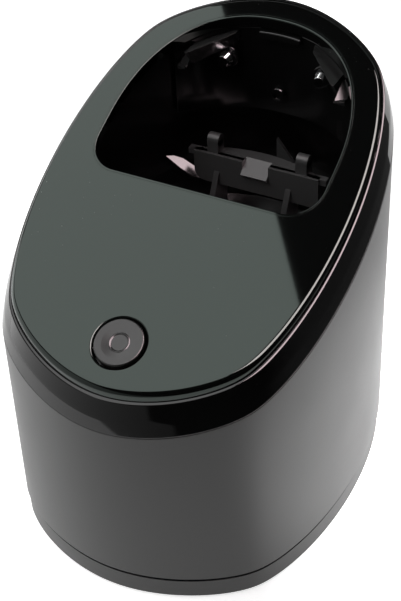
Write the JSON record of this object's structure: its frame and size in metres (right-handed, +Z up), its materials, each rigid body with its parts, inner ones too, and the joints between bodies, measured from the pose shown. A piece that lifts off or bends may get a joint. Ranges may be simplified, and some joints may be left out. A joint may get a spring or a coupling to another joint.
{
  "type": "shaver cleaning station",
  "caption": "Upright cleaning and charging station: satin housing with a sloping gloss deck, open shaver well and round start button, rising off a base tray that holds a fluid cartridge.",
  "frame": {"origin": "middle of the rest plane under the feet", "axes": "+Z up, -Y towards the low front end with the start button, +X to the right seen from the front"},
  "size_m": [0.1, 0.128, 0.1314],
  "materials": {
    "satin_grey": "satin, very fine grain",
    "gloss_black": "high gloss",
    "satin_black": "satin",
    "inner_grey": "satin",
    "button_grey": "soft gloss",
    "white_plastic": "satin",
    "cartridge_blue": "semi-gloss",
    "rubber": "matte",
    "steel": "plain",
    "chrome": "polished",
    "brass": "plain",
    "board_green": "lacquered board"
  },
  "bodies": {
    "base": {"base_tray": "satin_grey", "foot_front_left": "rubber", "foot_front_right": "rubber", "foot_rear_left": "rubber", "foot_rear_right": "rubber", "guide_post_left": "white_plastic", "guide_post_right": "white_plastic", "spring_rod_left": "steel", "spring_rod_right": "steel", "lift_spring_left": "steel", "lift_spring_right": "steel", "post_screws": "steel", "cartridge_tub": "cartridge_blue", "cartridge_lid": "cartridge_blue", "cartridge_filter": "white_plastic"},
    "housing": {"housing_shell": "satin_grey", "gloss_rim": "gloss_black", "top_deck": "gloss_black", "well_liner": "satin_black", "contact_carrier": "inner_grey", "carrier_screw": "steel", "contact_leaves": "brass", "cleaning_dish": "gloss_black", "cradle_bracket": "inner_grey", "drain_nozzle": "satin_black", "delivery_tube": "satin_black", "chassis": "inner_grey", "chassis_screws": "steel", "main_board": "board_green", "board_parts": "satin_black", "button_guide": "white_plastic", "button_board": "board_green", "pump_motor": "steel", "snorkel_tube": "satin_black", "power_socket": "satin_black", "socket_pins": "chrome"},
    "start_button": {"start_button": "button_grey"},
    "latch": {"latch_yoke": "white_plastic", "lift_button": "satin_grey"},
    "contact_left": {"contact_pin_left": "chrome"},
    "contact_right": {"contact_pin_right": "chrome"},
    "pump_wheel": {"pump_rotor": "steel"}
  },
  "joints": [
    {"name": "housing_lift", "type": "slide", "parent": "base", "child": "housing", "axis": [0, 0, 1], "range_m": [0, 0.044], "deforming": ["lift_spring_left", "lift_spring_right"]},
    {"name": "start_button_press", "type": "slide", "parent": "housing", "child": "start_button", "axis": [0, 0.4242, -0.9056], "range_m": [0, 0.0008], "stiffness_N_per_m": 1500, "springref_m": -0.0006},
    {"name": "lift_button_press", "type": "slide", "parent": "housing", "child": "latch", "axis": [0, -1, 0], "range_m": [0, 0.003], "stiffness_N_per_m": 700, "springref_m": -0.0015},
    {"name": "contact_left_press", "type": "slide", "parent": "housing", "child": "contact_left", "axis": [0, 1, 0], "range_m": [0, 0.001], "stiffness_N_per_m": 900, "springref_m": -0.0006},
    {"name": "contact_right_press", "type": "slide", "parent": "housing", "child": "contact_right", "axis": [0, 1, 0], "range_m": [0, 0.001], "stiffness_N_per_m": 900, "springref_m": -0.0006},
    {"name": "pump_spin", "type": "hinge", "parent": "housing", "child": "pump_wheel", "pos_m": [-0.02, -0.024, 0.04], "axis": [0, 0, 1], "continuous": true}
  ]
}
